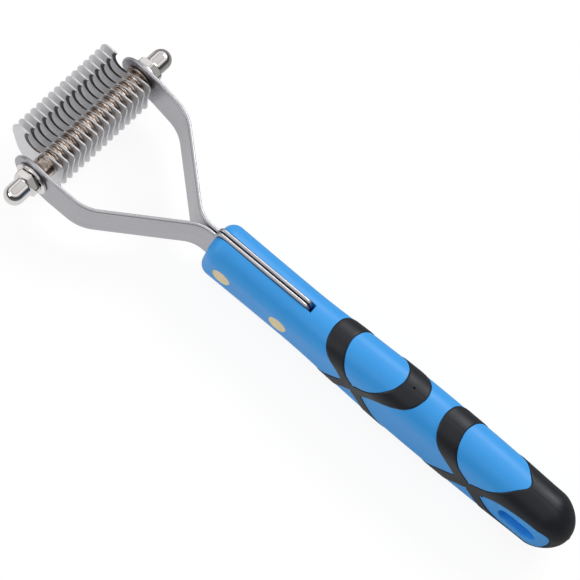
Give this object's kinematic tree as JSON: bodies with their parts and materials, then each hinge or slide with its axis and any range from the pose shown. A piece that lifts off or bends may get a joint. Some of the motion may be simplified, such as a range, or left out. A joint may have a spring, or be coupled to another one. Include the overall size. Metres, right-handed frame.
{
  "type": "undercoat rake",
  "caption": "Pet grooming rake with hooked steel blades and ring spacers on an axle between two bent strip arms, riveted into a moulded handle with soft rubber grips and a hanging hole.",
  "frame": {"origin": "bottom centre of the bounding box, with the blades' tails on the surface and the hooks up", "axes": "+X along the handle from the head to the butt, +Y across it, +Z the side that the hooks face"},
  "size_m": [0.2018, 0.0684, 0.0277],
  "materials": {
    "blade_steel": "satin stamped stainless steel",
    "spacer_chrome": "polished turned rings, warm tint",
    "axle_steel": "plain rod",
    "nut_chrome": "mirror polish",
    "arm_steel": "satin strip with rounded edges",
    "handle_blue": "satin moulded plastic",
    "grip_rubber": "soft matt overmoulding",
    "rivet_brass": "satin pale brass"
  },
  "bodies": {
    "root": {"handle_core": "handle_blue", "grip_band": "grip_rubber", "grip_butt_cap": "grip_rubber", "arm_left": "arm_steel", "arm_right": "arm_steel", "axle_rod": "axle_steel", "rivet_front": "rivet_brass", "rivet_rear": "rivet_brass"},
    "blade_pack": {"blade_01": "blade_steel", "blade_02": "blade_steel", "blade_03": "blade_steel", "blade_04": "blade_steel", "blade_05": "blade_steel", "blade_06": "blade_steel", "blade_07": "blade_steel", "blade_08": "blade_steel", "blade_09": "blade_steel", "blade_10": "blade_steel", "blade_11": "blade_steel", "blade_12": "blade_steel", "blade_13": "blade_steel", "blade_14": "blade_steel", "blade_15": "blade_steel", "blade_16": "blade_steel", "spacer_01": "spacer_chrome", "spacer_02": "spacer_chrome", "spacer_03": "spacer_chrome", "spacer_04": "spacer_chrome", "spacer_05": "spacer_chrome", "spacer_06": "spacer_chrome", "spacer_07": "spacer_chrome", "spacer_08": "spacer_chrome", "spacer_09": "spacer_chrome", "spacer_10": "spacer_chrome", "spacer_11": "spacer_chrome", "spacer_12": "spacer_chrome", "spacer_13": "spacer_chrome", "spacer_14": "spacer_chrome", "spacer_15": "spacer_chrome", "long_collar": "spacer_chrome", "end_spacer_left": "spacer_chrome", "end_spacer_right": "spacer_chrome", "end_washer_right": "spacer_chrome"},
    "left_washer": {"washer_left": "nut_chrome"},
    "left_nut": {"cap_nut_left": "nut_chrome"},
    "right_washer": {"washer_right": "nut_chrome"},
    "right_nut": {"cap_nut_right": "nut_chrome"}
  },
  "joints": [
    {"name": "blade_pack_turn", "type": "hinge", "parent": "root", "child": "blade_pack", "pos_m": [-0.08463, 0, 0.0142], "axis": [0.0767, 0.9971, 0], "continuous": true},
    {"name": "left_washer_slide", "type": "slide", "parent": "root", "child": "left_washer", "axis": [-0.0767, -0.9971, 0], "range_m": [0, 0.004]},
    {"name": "left_nut_turn", "type": "hinge", "parent": "left_washer", "child": "left_nut", "pos_m": [-0.08463, 0, 0.0142], "axis": [-0.0767, -0.9971, 0], "range_deg": [0, 1800]},
    {"name": "right_washer_slide", "type": "slide", "parent": "root", "child": "right_washer", "axis": [0.0767, 0.9971, 0], "range_m": [0, 0.004]},
    {"name": "right_nut_turn", "type": "hinge", "parent": "right_washer", "child": "right_nut", "pos_m": [-0.08463, 0, 0.0142], "axis": [0.0767, 0.9971, 0], "range_deg": [0, 1800]}
  ],
  "couplings": [
    {"joint": "left_nut_turn", "follows": "left_washer_slide", "rad_per_m": 7854},
    {"joint": "right_nut_turn", "follows": "right_washer_slide", "rad_per_m": 7854}
  ]
}
